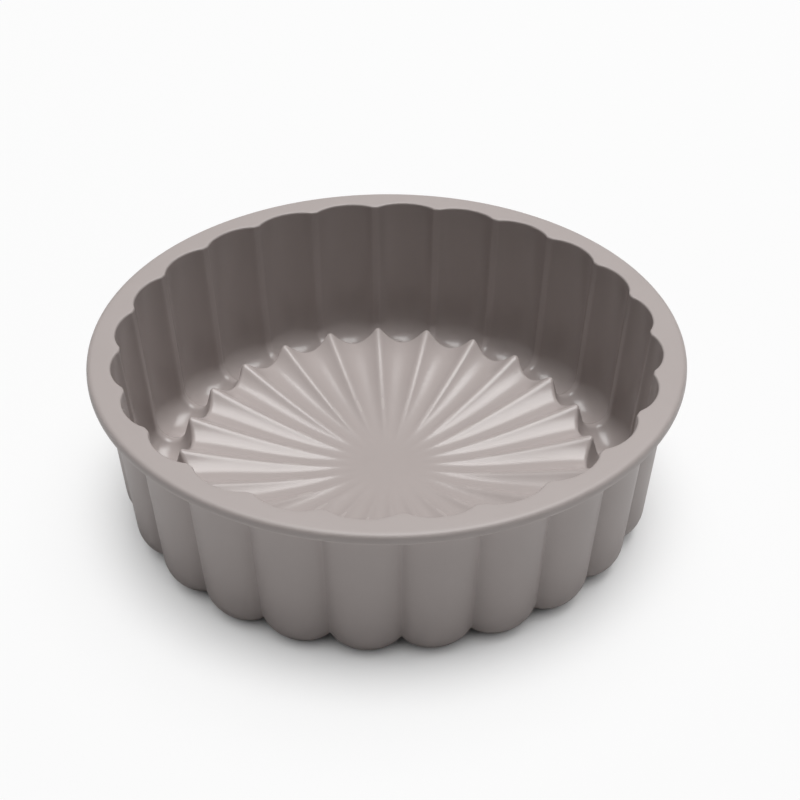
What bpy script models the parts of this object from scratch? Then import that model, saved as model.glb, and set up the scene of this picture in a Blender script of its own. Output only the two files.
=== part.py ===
"""Silicone sunflower cake mould.

The mould is one flexible moulding: a flat rim, a drafted wall of flutes, a ring of rounded flute ends
that it stands on, and a floor of rays that falls in a shallow dish towards a plain centre.

Its skin is one loft. Every ring of the loft runs once round the mould, through a point on each ridge
between two flutes, and swells to a second point in the middle of each flute. The rings follow the
inside of the skin from the centre of the floor to the mouth, cross the rim, and come back along the
outside to the centre of the underside. +Z is up, the axis of the mould is the Z axis, the flute ends
stand on z = 0, and one ridge lies on +X.
"""

import math
from typing import NamedTuple

import bmesh
import bpy

# Driving dimensions, in metres
FLUTE_COUNT = 24
RIM_RADIUS = 0.1200
RIM_THICKNESS = 0.0040
RIM_EDGE_RADIUS = 0.0010
MOUTH_RADIUS = 0.1071           # ridges between the flutes, level with the rim
MOUTH_EDGE_RADIUS = 0.0008
OVERALL_HEIGHT = 0.0720
FLUTE_DEPTH_AT_RIM = 0.0034      # middle of a flute behind its two ridges
FLUTE_DEPTH_AT_FOOT = 0.0046
CHANNEL_RADIUS = 0.0066         # turn of a ridge from the wall, round the flute end, to the step
RAY_TIP_RISE = 0.0073           # outer tip of a ray above the centre of that turn
RAY_DEPTH = 0.0053              # hollow between two rays at the step
DISH_DEPTH = 0.0122             # tip of a ray down to the plain centre
CENTRE_RADIUS = 0.0220          # plain centre, where the rays run out
FOOT_FLAT = 0.0008              # depth to which each flute end is flattened where it stands
FOOT_BAND = 0.0005              # what is lower than this is flattened with it

# Thickness of the skin at the ridges, in the middle of the flutes, and in the floor
RIDGE_SKIN_AT_RIM = 0.0038
RIDGE_SKIN_AT_WALL_FOOT = 0.0026
RIDGE_SKIN_UNDERNEATH = 0.0014
FLUTE_SKIN_AT_RIM = 0.0043
FLUTE_SKIN_AT_WALL_FOOT = 0.0030
FLUTE_SKIN_UNDERNEATH = 0.0024
FLOOR_THICKNESS = 0.0020

# Slopes, in radians from the vertical
WALL_DRAFT = math.radians(4.5)
STEP_DRAFT = math.radians(16.0)

# How blunt the hollows are across: 2 is a parabola, more is flatter with steeper flanks
FLUTE_BLUNTNESS = 2.0
RAY_BLUNTNESS = 2.2

# How the floor rises from the plain centre to the step: 1 is a straight slope, 2 is a parabola
DISH_CURVE = 1.45

# Steps of the loft
STEPS_ACROSS_FLUTE = 6
WALL_STEPS = 3
CHANNEL_STEPS = 7
FLOOR_STEPS = 5
RIM_EDGE_STEPS = 2

SHARP_ANGLE = math.radians(32.0)
SILICONE_COLOUR = (0.470, 0.420, 0.402, 1.0)
SILICONE_ROUGHNESS = 0.48
COLLECTION_NAME = "sunflower_cake_mould"


class Point(NamedTuple):
    """A place in a plane through the axis: distance from the axis and height."""
    radius: float
    height: float


class Ring(NamedTuple):
    """One ring of the loft: where it crosses the ridges and the middles of the flutes."""
    ridge: Point
    middle: Point
    bluntness: float = FLUTE_BLUNTNESS


class Skin(NamedTuple):
    """Thickness of the skin at a ridge and in the middle of a flute; nothing at all on the inside."""
    ridge: float
    middle: float


INSIDE = Skin(0.0, 0.0)
AT_RIM = Skin(RIDGE_SKIN_AT_RIM, FLUTE_SKIN_AT_RIM)
AT_WALL_FOOT = Skin(RIDGE_SKIN_AT_WALL_FOOT, FLUTE_SKIN_AT_WALL_FOOT)
UNDERNEATH = Skin(RIDGE_SKIN_UNDERNEATH, FLUTE_SKIN_UNDERNEATH)

# Where the skin turns, worked out from the driving dimensions
TURN_HEIGHT = FLUTE_SKIN_UNDERNEATH + FLUTE_DEPTH_AT_FOOT + CHANNEL_RADIUS - FOOT_FLAT
TURN_CENTRE = Point(
    MOUTH_RADIUS - math.tan(WALL_DRAFT) * (OVERALL_HEIGHT - TURN_HEIGHT) - CHANNEL_RADIUS / math.cos(WALL_DRAFT),
    TURN_HEIGHT,
)
RAY_TIP_HEIGHT = TURN_HEIGHT + RAY_TIP_RISE
CENTRE_HEIGHT = RAY_TIP_HEIGHT - DISH_DEPTH


def along(start, end, share):
    """The point that lies this share of the way from start to end."""
    return Point(
        start.radius + (end.radius - start.radius) * share,
        start.height + (end.height - start.height) * share,
    )


def between(start, end, share):
    """The skin's thickness this share of the way from one place to another."""
    return Skin(
        start.ridge + (end.ridge - start.ridge) * share,
        start.middle + (end.middle - start.middle) * share,
    )


def on_turn(reach, angle):
    """A point round the flute end: 0 faces the wall and a half turn faces the axis."""
    return Point(
        TURN_CENTRE.radius + reach * math.cos(angle),
        TURN_CENTRE.height - reach * math.sin(angle),
    )


def on_step(reach, height):
    """A point on the step inside the flute ends, this far from the middle of the turn's end."""
    foot = on_turn(reach, math.pi - STEP_DRAFT)
    return Point(foot.radius - math.tan(STEP_DRAFT) * (height - foot.height), height)


def wall_foot():
    """The height at which the wall runs into the turn."""
    return TURN_HEIGHT - CHANNEL_RADIUS * math.sin(WALL_DRAFT)


def wall_ring(height, skin):
    """The wall at a height: its inside, or its outside where the skin has a thickness."""
    down = (OVERALL_HEIGHT - height) / (OVERALL_HEIGHT - wall_foot())
    depth = FLUTE_DEPTH_AT_RIM + (FLUTE_DEPTH_AT_FOOT - FLUTE_DEPTH_AT_RIM) * down
    ridge = MOUTH_RADIUS - math.tan(WALL_DRAFT) * (OVERALL_HEIGHT - height)
    return Ring(Point(ridge + skin.ridge, height), Point(ridge + depth + skin.middle, height))


def turn_reaches(skin):
    """Radii of the turn at the ridges and at the middles of the flutes."""
    return CHANNEL_RADIUS + skin.ridge, CHANNEL_RADIUS + FLUTE_DEPTH_AT_FOOT + skin.middle


def turn_rings(wall_skin, skin):
    """The rounded flute ends, from the wall to the step, as the skin thins out underneath."""
    rings = []
    for step in range(CHANNEL_STEPS + 1):
        share = step / CHANNEL_STEPS
        angle = WALL_DRAFT + (math.pi - STEP_DRAFT - WALL_DRAFT) * share
        wallward = max(math.cos(angle), 0.0) ** 2
        ridge_reach, middle_reach = turn_reaches(between(skin, wall_skin, wallward))
        rings.append(Ring(on_turn(ridge_reach, angle), on_turn(middle_reach, angle)))
    return rings


def floor_edge():
    """Top of the step: the ray tips, and the ends of the hollows between the rays."""
    ridge_reach, middle_reach = turn_reaches(INSIDE)
    return Ring(
        on_step(ridge_reach, RAY_TIP_HEIGHT),
        on_step(middle_reach, RAY_TIP_HEIGHT - RAY_DEPTH),
        RAY_BLUNTNESS,
    )


def on_dish(edge, share):
    """A point of the floor, this share of the way from the plain centre out to the step."""
    return Point(
        CENTRE_RADIUS + (edge.radius - CENTRE_RADIUS) * share,
        CENTRE_HEIGHT + (edge.height - CENTRE_HEIGHT) * share ** DISH_CURVE,
    )


def floor_rings():
    """The rays, from the plain centre out to the step."""
    edge = floor_edge()
    rings = []
    for step in range(FLOOR_STEPS + 1):
        share = step / FLOOR_STEPS
        rings.append(Ring(on_dish(edge.ridge, share), on_dish(edge.middle, share), RAY_BLUNTNESS))
    return rings


def below_floor(ring):
    """The underside of the floor below one of its rings, with the flanks of the rays as thick as the rest."""
    depth = ring.ridge.height - ring.middle.height
    flank_slope = 2.0 * RAY_BLUNTNESS * depth * FLUTE_COUNT / (math.tau * ring.ridge.radius)
    gap = FLOOR_THICKNESS * math.hypot(1.0, flank_slope)
    return Ring(
        Point(ring.ridge.radius, ring.ridge.height - gap),
        Point(ring.middle.radius, ring.middle.height - FLOOR_THICKNESS),
        ring.bluntness,
    )


def step_meets_floor(reach, inner, outer):
    """Where the outside of the step meets the underside of the floor, a line through two points."""
    slope = (outer.height - inner.height) / (outer.radius - inner.radius)
    foot = on_step(reach, TURN_HEIGHT)
    lean = math.tan(STEP_DRAFT)
    rise = (inner.height + slope * (foot.radius - inner.radius) - TURN_HEIGHT) / (1.0 + slope * lean)
    return Point(foot.radius - lean * rise, TURN_HEIGHT + rise)


def underside_rings():
    """The underside of the floor, from the step in to the plain centre."""
    outward = [below_floor(ring) for ring in floor_rings()]
    ridge_reach, middle_reach = turn_reaches(UNDERNEATH)
    outer = Ring(
        step_meets_floor(ridge_reach, outward[-2].ridge, outward[-1].ridge),
        step_meets_floor(middle_reach, outward[-2].middle, outward[-1].middle),
        RAY_BLUNTNESS,
    )
    kept = [ring for ring in outward[:-1] if ring.ridge.radius < outer.ridge.radius]
    return [outer] + kept[::-1]


def inside_wall_rings():
    """The inside of the wall, from the flute ends up to the rounded edge of the mouth."""
    top = OVERALL_HEIGHT - MOUTH_EDGE_RADIUS
    foot = wall_foot()
    rings = []
    for step in range(1, WALL_STEPS + 1):
        rings.append(wall_ring(foot + (top - foot) * step / WALL_STEPS, INSIDE))
    return rings


def outside_wall_rings():
    """The outside of the wall, from under the rim down to the flute ends, thinning on the way."""
    top = OVERALL_HEIGHT - RIM_THICKNESS
    foot = wall_foot()
    rings = []
    for step in range(WALL_STEPS):
        share = step / WALL_STEPS
        rings.append(wall_ring(top + (foot - top) * share, between(AT_RIM, AT_WALL_FOOT, share)))
    return rings


def circle_ring(radius, height):
    """A plain round ring."""
    return Ring(Point(radius, height), Point(radius, height))


def rim_rings():
    """The flat top of the rim and its rounded outer edge, from the mouth to the underside."""
    mouth = wall_ring(OVERALL_HEIGHT, INSIDE)
    rings = [Ring(
        Point(mouth.ridge.radius + MOUTH_EDGE_RADIUS, OVERALL_HEIGHT),
        Point(mouth.middle.radius + MOUTH_EDGE_RADIUS, OVERALL_HEIGHT),
    )]
    for side in (0, 1):
        level = OVERALL_HEIGHT - RIM_EDGE_RADIUS if side == 0 else OVERALL_HEIGHT - RIM_THICKNESS + RIM_EDGE_RADIUS
        for step in range(RIM_EDGE_STEPS + 1):
            angle = math.pi / 2 * (1 - side - step / RIM_EDGE_STEPS)
            rings.append(circle_ring(
                RIM_RADIUS - RIM_EDGE_RADIUS * (1.0 - math.cos(angle)),
                level + RIM_EDGE_RADIUS * math.sin(angle),
            ))
    return rings


def swell(share, bluntness):
    """How far a ring has swung from its ridge point to its middle point, across one flute."""
    return 1.0 - abs(2.0 * share - 1.0) ** bluntness


def add_ring(mesh, ring):
    """Adds the vertices of one ring, and flattens them where the mould stands."""
    vertices = []
    for index in range(FLUTE_COUNT * STEPS_ACROSS_FLUTE):
        share = (index % STEPS_ACROSS_FLUTE) / STEPS_ACROSS_FLUTE
        place = along(ring.ridge, ring.middle, swell(share, ring.bluntness))
        angle = math.tau * index / (FLUTE_COUNT * STEPS_ACROSS_FLUTE)
        vertices.append(mesh.verts.new((
            place.radius * math.cos(angle),
            place.radius * math.sin(angle),
            place.height if place.height > FOOT_BAND else 0.0,
        )))
    return vertices


def add_loft(mesh, rings):
    """Joins the rings into one closed skin, with a flat face at each end."""
    loops = [add_ring(mesh, ring) for ring in rings]
    for near, far in zip(loops, loops[1:]):
        for index, vertex in enumerate(near):
            beside = (index + 1) % len(near)
            mesh.faces.new((vertex, far[index], far[beside], near[beside]))
    mesh.faces.new(loops[0])
    mesh.faces.new(reversed(loops[-1]))


def silicone_material():
    """Satin taupe silicone."""
    material = bpy.data.materials.new("taupe_silicone")
    material.use_nodes = True
    shader = material.node_tree.nodes["Principled BSDF"]
    shader.inputs["Base Color"].default_value = SILICONE_COLOUR
    shader.inputs["Roughness"].default_value = SILICONE_ROUGHNESS
    shader.inputs["Metallic"].default_value = 0.0
    material.diffuse_color = SILICONE_COLOUR
    return material


def make_cake_mould(collection):
    """The whole moulding, as one closed skin."""
    rings = floor_rings()
    rings += turn_rings(INSIDE, INSIDE)[::-1]
    rings += inside_wall_rings()
    rings += rim_rings()
    rings += outside_wall_rings()
    rings += turn_rings(AT_WALL_FOOT, UNDERNEATH)
    rings += underside_rings()

    mesh = bmesh.new()
    add_loft(mesh, rings)
    data = bpy.data.meshes.new("cake_mould")
    mesh.to_mesh(data)
    mesh.free()
    data.shade_smooth()
    data.set_sharp_from_angle(angle=SHARP_ANGLE)
    data.materials.append(silicone_material())
    mould = bpy.data.objects.new("cake_mould", data)
    collection.objects.link(mould)
    return mould


def main():
    for item in list(bpy.data.objects):
        bpy.data.objects.remove(item, do_unlink=True)
    collection = bpy.data.collections.new(COLLECTION_NAME)
    bpy.context.scene.collection.children.link(collection)
    make_cake_mould(collection)


main()
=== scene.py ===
"""Silicone sunflower cake mould: its detailed skin, its stage, its lamps and its camera.

The file is laid out as a Blender add-on and is run as a script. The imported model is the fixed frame.
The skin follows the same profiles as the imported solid, but every edge is rounded, the ridges are flat on
top with rounds beside the flat, and the loft is much finer. Each station of the loft runs once round the
mould. It goes through a point on each ridge, and swells to a second point in the middle of each flute.
"""

import math
from typing import NamedTuple

import bpy
from bpy.props import FloatProperty, FloatVectorProperty, IntProperty, PointerProperty
from mathutils import Matrix, Vector


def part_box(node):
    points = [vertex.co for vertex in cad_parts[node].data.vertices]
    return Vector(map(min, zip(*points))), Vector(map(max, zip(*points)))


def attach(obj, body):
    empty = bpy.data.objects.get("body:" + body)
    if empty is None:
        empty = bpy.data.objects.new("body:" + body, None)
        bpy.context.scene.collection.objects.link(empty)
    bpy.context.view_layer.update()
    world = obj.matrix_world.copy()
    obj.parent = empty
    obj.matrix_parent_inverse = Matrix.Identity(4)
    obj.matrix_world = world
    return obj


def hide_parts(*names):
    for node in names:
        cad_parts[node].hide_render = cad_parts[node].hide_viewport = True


bl_info = {
    "name": "Sunflower cake mould",
    "version": (1, 0, 0),
    "blender": (4, 5, 0),
    "location": "3D View > Sidebar > Cake mould",
    "description": "Makes a silicone sunflower cake mould with its stage, lamps and camera",
    "category": "Object",
}

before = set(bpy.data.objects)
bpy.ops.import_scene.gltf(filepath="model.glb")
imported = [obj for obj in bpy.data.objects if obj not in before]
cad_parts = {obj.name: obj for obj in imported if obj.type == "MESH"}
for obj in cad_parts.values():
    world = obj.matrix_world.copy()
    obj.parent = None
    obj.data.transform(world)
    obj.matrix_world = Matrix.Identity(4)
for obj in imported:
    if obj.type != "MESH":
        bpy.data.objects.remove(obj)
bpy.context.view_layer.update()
MOULD_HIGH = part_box("cake_mould")[1]

# Steps across one flute, and how strongly they crowd towards its ridges
STEPS_ACROSS_FLUTE = 30
STEP_CROWDING = 1.45

# Steps along the skin, from the centre of the floor up to the mouth
FLOOR_STEPS = 44
FLOOR_EDGE_STEPS = 10
STEP_STEPS = 6
TURN_STEPS = 20
INNER_WALL_STEPS = 14
MOUTH_STEPS = 6

# Steps along the skin, from the mouth over the rim and down the outside
RIM_TOP_STEPS = 3
RIM_EDGE_STEPS = 8
RIM_SIDE_STEPS = 2
RIM_LOW_EDGE_STEPS = 5
RIM_UNDERSIDE_STEPS = 3
RIM_ROOT_STEPS = 5
OUTER_WALL_STEPS = 12

# Steps along the skin, from the flute ends in under the floor
OUTER_STEP_STEPS = 5
LOW_EDGE_STEPS = 6
LOW_FLOOR_STEPS = 12
LOW_CENTRE_STEPS = 6
LAST_STEPS = 3

FLAT_CENTRE = 0.006         # radius of the flat disc that closes the skin, above and below
FLICK_CURVE = 12.0          # power of the rise that a ray or a hollow keeps for its last few millimetres
EDGE_ROUND_SHARE = 0.999    # share of its reach that the edge's round takes, to clear the floor's last point
LOW_EDGE_REACH = 1.6        # round under the floor's edge, in reaches of the round on a ray's tip
LOW_CENTRE_DIVISOR = 3.0    # the plain centre's radius over the reach of the round below its edge
FLANK_POWER = 6             # power of the steeper side that is mixed into a flute
FOOT_HEIGHT = 0.010         # height above which nothing settles on the floor
FOOT_SOFTNESS = 0.0003      # how softly a flute end settles there

CLOUD_SCALE, CLOUD_DETAIL = 38.0, 3.0
SMUDGE_SCALE, SMUDGE_DETAIL = 120.0, 4.0
GRAIN_SCALE, GRAIN_DETAIL = 2600.0, 2.0
SMUDGE_STRENGTH = 0.08      # how far the smudges move the roughness, from their lowest to their highest
INNER_GRAIN = 0.25          # share of the outside's grain that the polished inside keeps
SILICONE_IOR = 1.45

FLOOR_HALF = 6.0            # half the width of the floor
SENSOR_WIDTH = 36.0         # width of the camera's sensor, in millimetres


def length(name, description, default):
    """A size of the mould or the stage, in metres."""
    return FloatProperty(
        name=name, description=description, default=default, min=0.0, unit="LENGTH", precision=5,
    )


def slope(name, description, degrees):
    """An angle, given here in degrees."""
    return FloatProperty(name=name, description=description, default=math.radians(degrees), unit="ROTATION")


def share(name, description, default):
    """A number from 0 to 1."""
    return FloatProperty(
        name=name, description=description, default=default, min=0.0, max=1.0, subtype="FACTOR",
    )


def number(name, description, default):
    """A plain number."""
    return FloatProperty(name=name, description=description, default=default)


def watts(name, description, default):
    """The power of a lamp."""
    return FloatProperty(name=name, description=description, default=default, unit="POWER")


def colour(name, description, default):
    """A colour, as linear red, green and blue."""
    return FloatVectorProperty(
        name=name, description=description, default=default, min=0.0, max=1.0, size=3, subtype="COLOR",
    )


def place(name, description, default):
    """A place in the mould's own frame, in metres."""
    return FloatVectorProperty(
        name=name, description=description, default=default, size=3, subtype="TRANSLATION", precision=5,
    )


class MouldSizes(bpy.types.PropertyGroup):
    """Sizes of the skin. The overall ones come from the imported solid."""
    flute_count: IntProperty(name="Flutes", description="Flutes, and rays, round the mould", default=24, min=3)
    rim_radius: length("Rim radius", "Outer edge of the rim", MOULD_HIGH.x)
    height: length("Height", "Flute ends to the top of the rim", MOULD_HIGH.z)
    rim_thickness: length("Rim thickness", "Top of the rim to its underside", 0.0040)
    rim_edge_reach: length("Rim edge", "How far the round of the rim's upper outer edge reaches", 0.0026)
    rim_low_edge_reach: length("Rim's low edge", "How far the round of its lower outer edge reaches", 0.0009)
    mouth_radius: length("Mouth radius", "Axis to a ridge, level with the rim", 0.1071)
    mouth_edge_reach: length("Mouth edge", "How far the round of the mouth's edge reaches", 0.0010)
    rim_root_reach: length("Rim root", "Round between the rim's underside and the wall", 0.0012)
    flute_depth_at_rim: length("Flute depth at the rim", "Middle of a flute behind its ridges", 0.0034)
    flute_depth_at_foot: length("Flute depth at the foot", "The same at the foot of the wall", 0.0046)
    flute_depth_below: length(
        "Flute depth below", "Bottom of a flute end under the turns of its ridges", 0.0043,
    )
    channel_radius: length("Turn of a ridge", "Radius of the turn from the wall to the step", 0.0066)
    ray_tip_rise: length("Ray tip rise", "Tip of a ray above the centre of that turn", 0.0068)
    ray_depth: length("Ray depth", "Hollow between two rays at the step", 0.0054)
    dish_depth: length("Dish depth", "Tip of a ray down to the plain centre", 0.0118)
    centre_radius: length("Plain centre", "Where the rays run out", 0.0115)
    tip_reach: length("Tip round", "Round of the edge between a ray's tip and the step", 0.0014)
    hollow_reach: length("Hollow end round", "Round of the edge between a hollow's end and the step", 0.0018)
    foot_flat: length("Foot flat", "Depth to which each flute end is flattened", 0.0008)
    ridge_land: share("Ridge land", "Share of a flute's width that the flat tops of its ridges take", 0.08)
    ridge_nose: share("Ridge nose", "Share of the rest that the rounds beside them take", 0.07)
    groove_nose: share("Groove nose", "The same for the grooves behind the ridges, which have no flat", 0.025)
    flute_steepness: share("Flute steepness", "How much steeper than a parabola a flute's sides are", 0.20)
    ray_nose_at_tip: share(
        "Ray nose at the tip", "Share of a hollow's width that its rays' round tops take", 0.155,
    )
    ray_nose_inside: share("Ray nose inside", "The same, where the rays run out", 0.36)
    ray_curve: number("Ray curve", "Rise of a ray along its length: 1 is straight", 2.12)
    ray_lift: number("Ray lift", "How far the ray levels out at its tip", 0.80)
    hollow_curve: number("Hollow curve", "Rise of the hollow beside it", 3.1)
    hollow_lift: number("Hollow lift", "How far the hollow levels out at its end", 2.7)
    flick: share("Flick", "Share of the rise that both leave for their last few millimetres", 0.045)
    ridge_skin_at_rim: length("Ridge skin at the rim", "Thickness behind a ridge, under the rim", 0.0038)
    ridge_skin_at_foot: length(
        "Ridge skin at the foot", "Thickness behind a ridge, at the foot of the wall", 0.0026,
    )
    ridge_skin_below: length("Ridge skin below", "Thickness behind a ridge, under the flute end", 0.0014)
    flute_skin_at_rim: length("Flute skin at the rim", "Thickness behind a flute, under the rim", 0.0043)
    flute_skin_at_foot: length(
        "Flute skin at the foot", "Thickness behind a flute, at the foot of the wall", 0.0030,
    )
    flute_skin_below: length("Flute skin below", "Thickness under the flute end", 0.0024)
    floor_skin: length("Floor skin", "Thickness of the floor", 0.0020)
    wall_draft: slope("Wall draft", "Lean of the wall from the vertical", 4.5)
    step_draft: slope("Step draft", "Lean of the step from the vertical", 16.0)


class SiliconeFinish(bpy.types.PropertyGroup):
    """Colour and gloss of the silicone."""
    pale: colour("Pale tone", "Colour of the paler clouds in the silicone", (0.408, 0.363, 0.350))
    deep: colour("Deep tone", "Colour of the deeper clouds in the silicone", (0.388, 0.344, 0.331))
    inner_roughness: share("Inner roughness", "Roughness of the polished inside", 0.24)
    outer_roughness: share("Outer roughness", "Roughness of the matt outside", 0.46)
    grain_depth: length("Grain depth", "Height of the fine grain of the outside", 0.00003)


class StageLooks(bpy.types.PropertyGroup):
    """The floor, the lamps and the camera."""
    floor: colour("Floor", "Colour of the floor", (0.95, 0.95, 0.95))
    floor_white: colour(
        "Floor white", "What the camera sees of the floor where no shadow falls", (0.956, 0.956, 0.956),
    )
    floor_lift: share(
        "Floor lift", "How much of that white is mixed into the open floor, for the camera alone", 0.90,
    )
    # The floor's shadow close round the mould is painted: ambient occlusion thins its white there
    shadow_reach: length("Shadow reach", "How far from the mould the floor stops being open", 0.046)
    shadow_start: share("Shadow start", "Openness of the floor from which that white is mixed in", 0.12)
    shadow_end: share("Shadow end", "Openness of the floor from which all of it is mixed in", 0.86)
    lamp_power: watts("Lamp power", "Power of the overhead lamp", 115.5)
    lamp_place: place("Lamp place", "Middle of the overhead lamp", (0.39, 0.70, 3.0))
    lamp_width: length("Lamp width", "Size of the overhead lamp across the view", 2.20)
    lamp_depth: length("Lamp depth", "Size of the overhead lamp along the view", 2.54)
    ceiling_power: watts("Ceiling power", "Power of the dim ceiling", 20.0)
    ceiling_place: place("Ceiling place", "Middle of the dim ceiling above the lamp", (-0.2, 0.0, 3.3))
    ceiling_width: length("Ceiling width", "Size of the dim ceiling across the view", 2.8)
    ceiling_depth: length("Ceiling depth", "Size of the dim ceiling along the view", 2.8)
    camera_place: place("Camera place", "Where the camera stands", (-0.02656759, -0.55546108, 0.45412715))
    camera_aim: place(
        "Camera aim", "The point that the camera looks at", (0.00525873, -0.00030147, 0.04202399),
    )
    camera_lens: number("Lens", "Focal length on a 36 mm sensor", 75.349)
    camera_roll: slope("Camera roll", "Turn of the camera about its own axis", 0.0925)


class Point(NamedTuple):
    """A place in a plane through the axis: distance from the axis and height."""
    radius: float
    height: float


class Corner(NamedTuple):
    """A corner of a profile, how far its round reaches, and the steps before and round it."""
    place: Point
    reach: float
    run_steps: int
    round_steps: int


class Line(NamedTuple):
    """One profile of the skin, along the ridges or along the middles of the flutes."""
    turn_reach: float       # radius of the turn from the wall to the step, inside
    turn_lift: float        # how much less deep than wide that turn is
    edge_drop: float        # how far the floor's edge lies below a ray's tip
    edge_reach: float       # how far the round of that edge reaches
    edge_flank: float       # how steeply the floor falls away sideways there
    dish_curve: float       # rise of the floor along the line: 1 is straight
    dish_lift: float        # how far it levels out at its edge
    mouth: float            # the axis to the wall, level with the top of the rim
    skin_at_rim: float      # thickness of the wall under the rim
    skin_below: float       # thickness under the flute end
    wall_shift: float       # how much thicker than that the wall is at its foot


class Section(NamedTuple):
    """The section of a ridge: its flat and its round share of a flute's width, and its steepness."""
    land: float
    nose: float
    steepness: float


def between(start, end, amount):
    """The number that lies this share of the way from start to end."""
    return start + (end - start) * amount


def along(start, end, amount):
    """The point that lies this share of the way from start to end."""
    return Point(between(start.radius, end.radius, amount), between(start.height, end.height, amount))


def towards(start, end, distance):
    """The point that lies this far from start on the way to end."""
    return along(start, end, distance / math.dist(start, end))


def straight(start, end, steps):
    """The points of a straight run; start is left out."""
    return [along(start, end, step / steps) for step in range(1, steps + 1)]


def softened(start, corners, end, last_steps):
    """The points of a line from start to end, with its corners rounded; start is left out."""
    points = []
    here = start
    for index, corner in enumerate(corners):
        after = corners[index + 1].place if index + 1 < len(corners) else end
        enter = towards(corner.place, here, corner.reach)
        leave = towards(corner.place, after, corner.reach)
        points += straight(here, enter, corner.run_steps)
        for step in range(1, corner.round_steps + 1):
            amount = step / corner.round_steps
            points.append(along(along(enter, corner.place, amount), along(corner.place, leave, amount), amount))
        here = leave
    return points + straight(here, end, last_steps)


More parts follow.
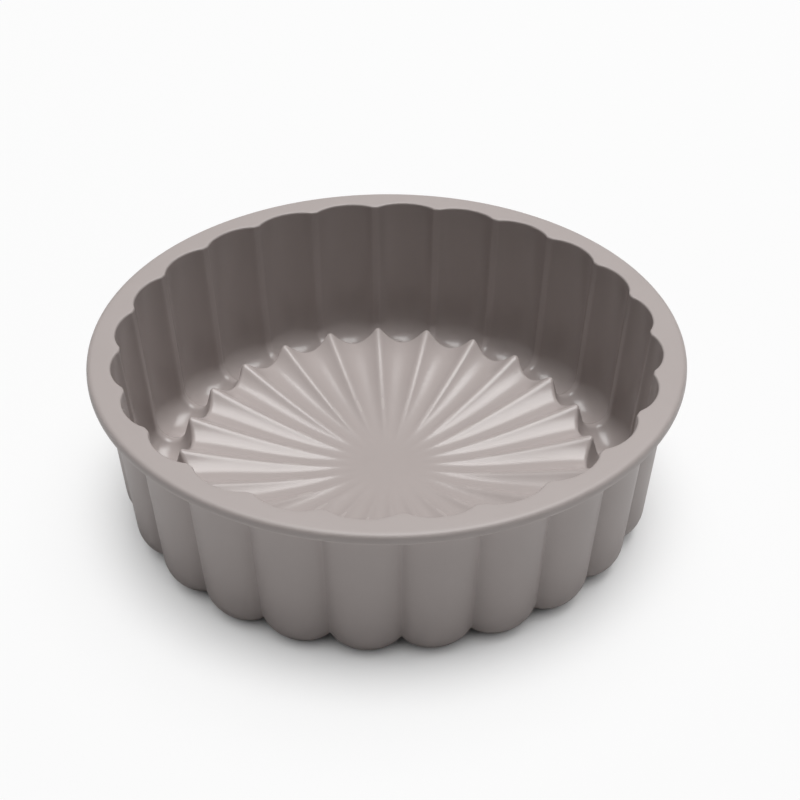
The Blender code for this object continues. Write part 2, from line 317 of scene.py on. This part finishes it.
class Profile:
    """The two profiles of the skin, worked out from the sizes."""

    def __init__(self, sizes):
        self.sizes = sizes
        self.turn_height = (
            sizes.flute_skin_below + sizes.flute_depth_at_foot + sizes.channel_radius - sizes.foot_flat
        )
        self.lean = math.tan(sizes.wall_draft)
        self.turn_radius = (
            sizes.mouth_radius
            - self.lean * (sizes.height - self.turn_height)
            - sizes.channel_radius / math.cos(sizes.wall_draft)
        )
        self.tip_height = self.turn_height + sizes.ray_tip_rise
        self.centre_height = self.tip_height - sizes.dish_depth
        self.tip = self.on_step(sizes.channel_radius, self.tip_height)
        half_width = math.pi * self.tip.radius / sizes.flute_count
        self.ridge = Line(
            turn_reach=sizes.channel_radius,
            turn_lift=0.0,
            edge_drop=0.0,
            edge_reach=sizes.tip_reach,
            edge_flank=2.0 * sizes.ray_depth / half_width,
            dish_curve=sizes.ray_curve,
            dish_lift=sizes.ray_lift,
            mouth=sizes.mouth_radius,
            skin_at_rim=sizes.ridge_skin_at_rim,
            skin_below=sizes.ridge_skin_below,
            wall_shift=sizes.ridge_skin_at_foot - sizes.ridge_skin_below,
        )
        self.middle = Line(
            turn_reach=sizes.channel_radius + sizes.flute_depth_at_foot,
            turn_lift=sizes.flute_depth_at_foot - sizes.flute_depth_below,
            edge_drop=sizes.ray_depth,
            edge_reach=sizes.hollow_reach,
            edge_flank=0.0,
            dish_curve=sizes.hollow_curve,
            dish_lift=sizes.hollow_lift,
            mouth=sizes.mouth_radius + sizes.flute_depth_at_rim,
            skin_at_rim=sizes.flute_skin_at_rim,
            skin_below=sizes.flute_skin_below,
            wall_shift=sizes.flute_skin_at_foot - sizes.flute_skin_below,
        )

    def on_turn(self, reach, angle, shift=0.0, lift=0.0):
        """A point round the flute end: 0 faces the wall and a half turn faces the axis."""
        return Point(
            self.turn_radius + shift + reach * math.cos(angle),
            self.turn_height - (reach - lift) * math.sin(angle),
        )

    def on_step(self, reach, height, shift=0.0, lift=0.0):
        """A point on the step inside the flute ends."""
        foot = self.on_turn(reach, math.pi - self.sizes.step_draft, shift, lift)
        return Point(foot.radius - math.tan(self.sizes.step_draft) * (height - foot.height), height)

    def turn(self, reach, shift=0.0, lift=0.0):
        """The points of the turn, from the step to the wall; both ends are included."""
        first = math.pi - self.sizes.step_draft
        last = self.sizes.wall_draft
        angles = [between(first, last, step / TURN_STEPS) for step in range(TURN_STEPS + 1)]
        return [self.on_turn(reach, angle, shift, lift) for angle in angles]

    def floor_edge(self, line):
        """The sharp edge between the floor and the step, before it is rounded."""
        return self.on_step(line.turn_reach, self.tip_height - line.edge_drop, lift=line.turn_lift)

    def on_floor(self, line, edge, amount):
        """A point of the floor, this share of the way from the plain centre out to its edge."""
        even = amount ** line.dish_curve * (1.0 + line.dish_lift * (1.0 - amount))
        rise = between(even, amount ** FLICK_CURVE, self.sizes.flick)
        return Point(
            between(self.sizes.centre_radius, edge.radius, amount),
            between(self.centre_height, edge.height, rise),
        )

    def inside(self, line):
        """From the centre of the floor to the foot of the wall."""
        edge = self.floor_edge(line)
        last = 1.0 - line.edge_reach / (edge.radius - self.sizes.centre_radius)
        floor = [self.on_floor(line, edge, last * step / FLOOR_STEPS) for step in range(FLOOR_STEPS + 1)]
        turn = self.turn(line.turn_reach, lift=line.turn_lift)
        corner = Corner(edge, line.edge_reach * EDGE_ROUND_SHARE, 1, FLOOR_EDGE_STEPS)
        start = Point(FLAT_CENTRE, self.centre_height)
        return [start] + floor + softened(floor[-1], [corner], turn[0], STEP_STEPS) + turn[1:]

    def rim_and_outside(self, line):
        """From the foot of the wall up over the rim and down the outside to its foot."""
        sizes = self.sizes
        foot = self.on_turn(line.turn_reach, sizes.wall_draft, lift=line.turn_lift)
        outer_foot = self.on_turn(line.turn_reach + line.skin_below, sizes.wall_draft, line.wall_shift)
        low = sizes.height - sizes.rim_thickness
        mouth = Point(line.mouth, sizes.height)
        rim_edge = Point(sizes.rim_radius, sizes.height)
        rim_low_edge = Point(sizes.rim_radius, low)
        rim_root = Point(line.mouth - self.lean * sizes.rim_thickness + line.skin_at_rim, low)
        corners = [
            Corner(mouth, sizes.mouth_edge_reach, INNER_WALL_STEPS, MOUTH_STEPS),
            Corner(rim_edge, sizes.rim_edge_reach, RIM_TOP_STEPS, RIM_EDGE_STEPS),
            Corner(rim_low_edge, sizes.rim_low_edge_reach, RIM_SIDE_STEPS, RIM_LOW_EDGE_STEPS),
            Corner(rim_root, sizes.rim_root_reach, RIM_UNDERSIDE_STEPS, RIM_ROOT_STEPS),
        ]
        return softened(foot, corners, outer_foot, OUTER_WALL_STEPS)

    def underside(self, line):
        """From the foot of the outside, round the flute ends and in under the floor."""
        sizes = self.sizes
        reach = line.turn_reach + line.skin_below
        turn = self.turn(reach, line.wall_shift)[::-1]
        edge = self.floor_edge(line)
        # Straight down, a skin is thicker where the floor falls away sideways
        low_edge = Point(edge.radius, edge.height - sizes.floor_skin * math.hypot(1.0, line.edge_flank))
        low_centre = Point(sizes.centre_radius, self.centre_height - sizes.floor_skin)
        # The outer step leans inwards as it rises, up to where it meets the floor's underside
        rise = (low_edge.height - low_centre.height) / (low_edge.radius - low_centre.radius)
        foot = self.on_step(reach, self.turn_height, line.wall_shift)
        lean = math.tan(sizes.step_draft)
        level = low_centre.height + rise * (foot.radius - low_centre.radius)
        up = (level - self.turn_height) / (1.0 + rise * lean)
        meeting = Point(foot.radius - lean * up, self.turn_height + up)
        end = Point(FLAT_CENTRE, low_centre.height)
        corners = [
            Corner(meeting, LOW_EDGE_REACH * sizes.tip_reach, OUTER_STEP_STEPS, LOW_EDGE_STEPS),
            Corner(low_centre, sizes.centre_radius / LOW_CENTRE_DIVISOR, LOW_FLOOR_STEPS, LOW_CENTRE_STEPS),
        ]
        return turn[1:] + softened(turn[-1], corners, end, LAST_STEPS)

    def stations(self):
        """Pairs of a ridge point and a middle point, once along the whole skin."""
        whole = []
        for line in (self.ridge, self.middle):
            whole.append(self.inside(line) + self.rim_and_outside(line) + self.underside(line))
        return list(zip(*whole))

    def section(self, radius, is_inside):
        """The section of a ridge, this far from the axis. A ray turns into a ridge beyond its tip."""
        sizes = self.sizes
        if radius < self.tip.radius:
            amount = max(0.0, (radius - sizes.centre_radius) / (self.tip.radius - sizes.centre_radius))
            return Section(0.0, between(sizes.ray_nose_inside, sizes.ray_nose_at_tip, amount), 0.0)
        if is_inside:
            land, nose, whole = sizes.ridge_land, sizes.ridge_nose, self.turn_radius + sizes.channel_radius
        else:
            land, nose, whole = 0.0, sizes.groove_nose, self.turn_radius
        amount = min(1.0, (radius - self.tip.radius) / (whole - self.tip.radius))
        return Section(
            land * amount,
            between(sizes.ray_nose_at_tip, nose, amount),
            sizes.flute_steepness * amount,
        )


def across_flute():
    """Places across one flute, from 0 to 1, crowded towards the two ridges."""
    half = STEPS_ACROSS_FLUTE // 2
    first = [0.5 * (step / half) ** STEP_CROWDING for step in range(half + 1)]
    return first + [1.0 - amount for amount in first[-2:0:-1]]


def swell(amount, section):
    """How far a station has swung from its ridge point to its middle point, across one flute."""
    land, nose, steepness = section
    aside = max(0.0, (2.0 * min(amount, 1.0 - amount) - land) / (1.0 - land))
    even = aside ** 2 / nose if aside < nose else 1.0 - (1.0 - aside) ** 2 / (1.0 - nose)
    steep = (1.0 - (1.0 - aside) ** FLANK_POWER) * aside * (1.0 + nose) / (aside + nose)
    return between(even, steep, steepness)


def settled(height):
    """A height after the mould has settled on the floor: what would sink into it lies flat."""
    if height > FOOT_HEIGHT:
        return height
    return 0.5 * (height + math.hypot(height, FOOT_SOFTNESS))


def skin_mesh(sizes):
    """The whole skin as one closed mesh, with a point attribute that is 1 on its polished inside."""
    profile = Profile(sizes)
    stations = profile.stations()
    places = across_flute()
    half_mouth = MOUTH_STEPS // 2
    polished_count = len(profile.inside(profile.ridge)) + INNER_WALL_STEPS + half_mouth
    rim_count = polished_count + half_mouth + RIM_TOP_STEPS
    vertices = []
    inner = []
    around = sizes.flute_count * len(places)
    for index, (ridge, middle) in enumerate(stations):
        section = profile.section(ridge.radius, index < rim_count)
        points = [along(ridge, middle, swell(amount, section)) for amount in places]
        for flute in range(sizes.flute_count):
            for amount, point in zip(places, points):
                angle = math.tau * (flute + amount) / sizes.flute_count
                vertices.append((
                    point.radius * math.cos(angle),
                    point.radius * math.sin(angle),
                    settled(point.height),
                ))
        inner += [1.0 if index < polished_count else 0.0] * around
    faces = []
    for station in range(len(stations) - 1):
        near = station * around
        far = near + around
        for index in range(around):
            beside = (index + 1) % around
            faces.append((near + index, far + index, far + beside, near + beside))
    faces.append(tuple(range(around)))
    faces.append(tuple(range(len(vertices) - 1, len(vertices) - around - 1, -1)))
    mesh = bpy.data.meshes.new("mould_skin")
    mesh.from_pydata(vertices, [], faces)
    mesh.update()
    mesh.shade_smooth()
    attribute = mesh.attributes.new("inner_side", "FLOAT", "POINT")
    attribute.data.foreach_set("value", inner)
    return mesh


class Link:
    """A value in a material's graph. Arithmetic on it adds Math nodes."""

    def __init__(self, graph, socket):
        self.graph = graph
        self.socket = socket

    def __add__(self, other):
        return self.graph.math("ADD", self, other)

    __radd__ = __add__

    def __sub__(self, other):
        return self.graph.math("SUBTRACT", self, other)

    def __rsub__(self, other):
        return self.graph.math("SUBTRACT", other, self)

    def __mul__(self, other):
        return self.graph.math("MULTIPLY", self, other)

    __rmul__ = __mul__


class Graph:
    """The nodes of one material or world."""

    def __init__(self, owner):
        owner.use_nodes = True
        self.tree = owner.node_tree
        self.tree.nodes.clear()

    def node(self, kind, settings, sockets):
        """Adds a node: its settings are set first, then its sockets get values or links."""
        node = self.tree.nodes.new(kind)
        for name, value in settings.items():
            setattr(node, name, value)
        for name, value in sockets.items():
            self.feed(node.inputs[name], value)
        return node

    def feed(self, socket, value):
        """Links a value of the graph to a socket, or sets a plain one."""
        if isinstance(value, Link):
            self.tree.links.new(value.socket, socket)
        else:
            socket.default_value = value

    def link(self, node, output=0):
        """An output of a node, as a value of the graph."""
        return Link(self, node.outputs[output])

    def math(self, operation, first, second):
        """A Math node with two values."""
        return self.link(self.node("ShaderNodeMath", {"operation": operation}, {0: first, 1: second}))

    def noise(self, where, scale, detail):
        """A cloud of values from 0 to 1."""
        sockets = {"Vector": where, "Scale": scale, "Detail": detail}
        return self.link(self.node("ShaderNodeTexNoise", {}, sockets))

    def mix(self, amount, first, second):
        """A colour between two colours. A Mix node's colours go in at 6 and 7, and come out at 2."""
        node = self.node("ShaderNodeMix", {"data_type": "RGBA"}, {0: amount, 6: first, 7: second})
        return self.link(node, 2)


def with_alpha(value):
    """A colour with its alpha."""
    return (value[0], value[1], value[2], 1.0)


def silicone(finish):
    """Taupe silicone: polished inside, finely grained outside, with faint clouds in its colour."""
    material = bpy.data.materials.new("taupe_silicone_skin")
    graph = Graph(material)
    where = graph.link(graph.node("ShaderNodeTexCoord", {}, {}), "Object")
    inner = graph.link(graph.node("ShaderNodeAttribute", {"attribute_name": "inner_side"}, {}), "Fac")
    clouds = graph.noise(where, CLOUD_SCALE, CLOUD_DETAIL)
    smudges = graph.noise(where, SMUDGE_SCALE, SMUDGE_DETAIL)
    grain = graph.noise(where, GRAIN_SCALE, GRAIN_DETAIL)
    outer = 1.0 - inner
    rough = inner * finish.inner_roughness + outer * finish.outer_roughness
    relief = grain * (INNER_GRAIN + (1.0 - INNER_GRAIN) * outer)
    bump = graph.node("ShaderNodeBump", {}, {"Strength": 1.0, "Distance": finish.grain_depth, "Height": relief})
    shader = graph.node("ShaderNodeBsdfPrincipled", {}, {
        "Base Color": graph.mix(clouds, with_alpha(finish.deep), with_alpha(finish.pale)),
        "Roughness": rough + (smudges - 0.5) * SMUDGE_STRENGTH,
        "IOR": SILICONE_IOR,
        "Normal": graph.link(bump),
    })
    graph.node("ShaderNodeOutputMaterial", {}, {"Surface": graph.link(shader)})
    return material


def floor_paper(looks):
    """Pale paper. For the camera, white is mixed in where the floor is open, and less near the mould, so that a
    painted shadow lies close round the mould over the floor's real shading.
    """
    material = bpy.data.materials.new("floor_paper")
    graph = Graph(material)
    rays = graph.node("ShaderNodeLightPath", {}, {})
    paper = graph.node("ShaderNodeBsdfDiffuse", {}, {"Color": with_alpha(looks.floor)})
    # Ambient occlusion lowers the white near the mould: this paints the close shadow round it
    openness = graph.link(graph.node("ShaderNodeAmbientOcclusion", {}, {"Distance": looks.shadow_reach}), "AO")
    level = graph.link(graph.node("ShaderNodeMapRange", {}, {
        "Value": openness,
        "From Min": looks.shadow_start,
        "From Max": looks.shadow_end,
    }))
    glow = graph.node("ShaderNodeEmission", {}, {"Color": with_alpha(looks.floor_white)})
    lift = graph.link(rays, "Is Camera Ray") * looks.floor_lift * level
    seen = graph.node("ShaderNodeMixShader", {}, {0: lift, 1: graph.link(paper), 2: graph.link(glow)})
    graph.node("ShaderNodeOutputMaterial", {}, {"Surface": graph.link(seen)})
    return material


class CAKE_MOULD_OT_skin(bpy.types.Operator):
    """Make the detailed skin of the mould"""
    bl_idname = "cake_mould.skin"
    bl_label = "Make the mould"

    def execute(self, context):
        mesh = skin_mesh(context.scene.mould_sizes)
        mesh.materials.append(silicone(context.scene.silicone_finish))
        skin = bpy.data.objects.new("mould_skin", mesh)
        context.scene.collection.objects.link(skin)
        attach(skin, "root")
        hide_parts("cake_mould")
        return {"FINISHED"}


class CAKE_MOULD_OT_stage(bpy.types.Operator):
    """Make the floor, the white surroundings, the two lamps and the camera"""
    bl_idname = "cake_mould.stage"
    bl_label = "Make the stage"

    def execute(self, context):
        looks = context.scene.stage_looks
        self.make_floor(context, looks)
        self.make_surroundings(context)
        self.make_lamp(
            context, "overhead_lamp", looks.lamp_place, looks.lamp_width, looks.lamp_depth, looks.lamp_power,
        )
        self.make_lamp(
            context, "dim_ceiling", looks.ceiling_place, looks.ceiling_width, looks.ceiling_depth,
            looks.ceiling_power,
        )
        self.make_camera(context, looks)
        context.scene.view_settings.view_transform = "Standard"
        return {"FINISHED"}

    def make_floor(self, context, looks):
        """A wide pale floor on which the mould stands; its material paints a close shadow round the mould."""
        mesh = bpy.data.meshes.new("floor")
        corners = [(x * FLOOR_HALF, y * FLOOR_HALF, 0.0) for x, y in ((-1, -1), (1, -1), (1, 1), (-1, 1))]
        mesh.from_pydata(corners, [], [(0, 1, 2, 3)])
        mesh.materials.append(floor_paper(looks))
        floor = bpy.data.objects.new("floor", mesh)
        context.scene.collection.objects.link(floor)

    def make_surroundings(self, context):
        """White beyond the floor, for the camera alone. It sheds no light on the mould."""
        world = bpy.data.worlds.new("studio")
        graph = Graph(world)
        seen = graph.link(graph.node("ShaderNodeLightPath", {}, {}), "Is Camera Ray")
        white = graph.node("ShaderNodeBackground", {}, {"Color": (1.0, 1.0, 1.0, 1.0), "Strength": seen})
        graph.node("ShaderNodeOutputWorld", {}, {"Surface": graph.link(white)})
        context.scene.world = world

    def make_lamp(self, context, name, middle, width, depth, power):
        """A wide soft lamp that faces straight down."""
        data = bpy.data.lights.new(name, "AREA")
        data.shape = "RECTANGLE"
        data.size = width
        data.size_y = depth
        data.energy = power
        lamp = bpy.data.objects.new(name, data)
        lamp.location = middle
        context.scene.collection.objects.link(lamp)

    def make_camera(self, context, looks):
        """The camera, at the photograph's angle."""
        data = bpy.data.cameras.new("camera")
        data.sensor_width = SENSOR_WIDTH
        data.lens = looks.camera_lens
        camera = bpy.data.objects.new("camera", data)
        start = Vector(looks.camera_place)
        facing = (Vector(looks.camera_aim) - start).to_track_quat("-Z", "Y").to_matrix().to_4x4()
        camera.matrix_world = Matrix.Translation(start) @ facing @ Matrix.Rotation(looks.camera_roll, 4, "Z")
        context.scene.collection.objects.link(camera)
        context.scene.camera = camera


class CAKE_MOULD_PT_panel(bpy.types.Panel):
    """Sizes and buttons of the cake mould"""
    bl_label = "Cake mould"
    bl_idname = "CAKE_MOULD_PT_panel"
    bl_space_type = "VIEW_3D"
    bl_region_type = "UI"
    bl_category = "Cake mould"

    def draw(self, context):
        for group, operator in (
            (context.scene.mould_sizes, CAKE_MOULD_OT_skin),
            (context.scene.silicone_finish, None),
            (context.scene.stage_looks, CAKE_MOULD_OT_stage),
        ):
            box = self.layout.box()
            for name in group.__annotations__:
                box.prop(group, name)
            if operator:
                box.operator(operator.bl_idname)


CLASSES = (
    MouldSizes,
    SiliconeFinish,
    StageLooks,
    CAKE_MOULD_OT_skin,
    CAKE_MOULD_OT_stage,
    CAKE_MOULD_PT_panel,
)


def register():
    """Adds the classes, and their sizes and looks to the scene."""
    for item in CLASSES:
        bpy.utils.register_class(item)
    bpy.types.Scene.mould_sizes = PointerProperty(type=MouldSizes)
    bpy.types.Scene.silicone_finish = PointerProperty(type=SiliconeFinish)
    bpy.types.Scene.stage_looks = PointerProperty(type=StageLooks)


def unregister():
    """Takes away what register adds."""
    del bpy.types.Scene.stage_looks
    del bpy.types.Scene.silicone_finish
    del bpy.types.Scene.mould_sizes
    for item in reversed(CLASSES):
        bpy.utils.unregister_class(item)


def main():
    """Registers the classes, makes the mould and the stage, and keeps the sizes."""
    register()
    bpy.ops.cake_mould.skin()
    bpy.ops.cake_mould.stage()


if __name__ == "__main__":
    main()
